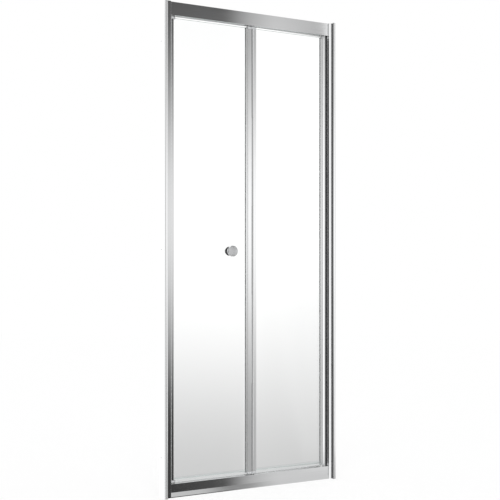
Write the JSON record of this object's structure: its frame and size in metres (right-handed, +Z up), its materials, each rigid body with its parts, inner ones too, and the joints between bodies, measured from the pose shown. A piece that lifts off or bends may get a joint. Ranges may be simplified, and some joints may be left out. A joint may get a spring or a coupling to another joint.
{
  "type": "bifold shower door",
  "caption": "Inward-folding two-leaf framed shower door: glazed leaves on a pivot, a fold hinge and rail guides, with a round knob.",
  "frame": {"origin": "middle of the frame's underside", "axes": "+X along the rails to the pivot side, +Y into the shower, +Z up"},
  "size_m": [0.76, 0.0596, 1.85],
  "materials": {
    "polished_frame": "polished silver anodised aluminium",
    "clear_glass": "clear toughened glass",
    "grey_plastic": "satin moulded plastic",
    "white_plastic": "low-friction moulded plastic",
    "clear_seal": "clear flexible vinyl",
    "grey_seal": "grey flexible vinyl",
    "black_rubber": "black rubber",
    "steel": "stainless steel",
    "chromed_brass": "polished chrome plate"
  },
  "bodies": {
    "frame": {"left_wall_profile": "polished_frame", "right_wall_profile": "polished_frame", "left_jamb": "polished_frame", "right_jamb": "polished_frame", "top_rail": "polished_frame", "bottom_rail": "polished_frame", "corner_screws": "steel", "jamb_screws": "steel", "jamb_screw_caps": "grey_plastic", "top_pivot_block": "white_plastic", "bottom_pivot_block": "white_plastic", "pivot_block_screws": "steel", "jamb_magnet_strip": "grey_seal", "pivot_side_seal": "grey_seal"},
    "pivot_leaf": {"pivot_glass": "clear_glass", "pivot_stile": "polished_frame", "pivot_fold_stile": "polished_frame", "pivot_stile_top_cap": "grey_plastic", "pivot_stile_bottom_cap": "grey_plastic", "pivot_fold_top_cap": "grey_plastic", "pivot_fold_bottom_cap": "grey_plastic", "top_pivot_pin": "steel", "bottom_pivot_pin": "steel", "pivot_thrust_washer": "white_plastic", "hinge_pin": "steel", "pivot_leaf_gaskets": "clear_seal", "pivot_drip_seal": "clear_seal", "fold_seal": "grey_seal"},
    "lead_leaf": {"lead_glass": "clear_glass", "closing_stile": "polished_frame", "lead_fold_stile": "polished_frame", "closing_stile_top_cap": "grey_plastic", "closing_stile_bottom_cap": "grey_plastic", "lead_fold_top_cap": "grey_plastic", "lead_fold_bottom_cap": "grey_plastic", "top_guide_pin": "steel", "bottom_guide_pin": "steel", "lead_leaf_gaskets": "clear_seal", "lead_drip_seal": "clear_seal", "leaf_magnet_strip": "grey_seal", "knob": "chromed_brass", "knob_ring": "black_rubber", "knob_bush": "white_plastic", "knob_inner_washer": "black_rubber", "knob_back_plate": "chromed_brass", "knob_screw": "steel"},
    "top_shoe": {"top_guide_shoe": "white_plastic"},
    "bottom_shoe": {"bottom_guide_shoe": "white_plastic"}
  },
  "joints": [
    {"name": "pivot_swing", "type": "hinge", "parent": "frame", "child": "pivot_leaf", "pos_m": [0.3389, 0.0085, 0.925], "axis": [0, 0, -1], "range_deg": [0, 85]},
    {"name": "leaf_fold", "type": "hinge", "parent": "pivot_leaf", "child": "lead_leaf", "pos_m": [0.0067, -0.00375, 0.925], "axis": [0, 0, 1], "range_deg": [0, 170]},
    {"name": "top_shoe_swivel", "type": "hinge", "parent": "lead_leaf", "child": "top_shoe", "pos_m": [-0.3255, 0.0085, 1.8085], "axis": [0, 0, -1], "range_deg": [0, 85]},
    {"name": "bottom_shoe_swivel", "type": "hinge", "parent": "lead_leaf", "child": "bottom_shoe", "pos_m": [-0.3255, 0.0085, 0.0415], "axis": [0, 0, -1], "range_deg": [0, 85]}
  ],
  "couplings": [
    {"joint": "leaf_fold", "follows": "pivot_swing", "ratio": 2},
    {"joint": "top_shoe_swivel", "follows": "pivot_swing", "ratio": 1},
    {"joint": "bottom_shoe_swivel", "follows": "pivot_swing", "ratio": 1}
  ]
}
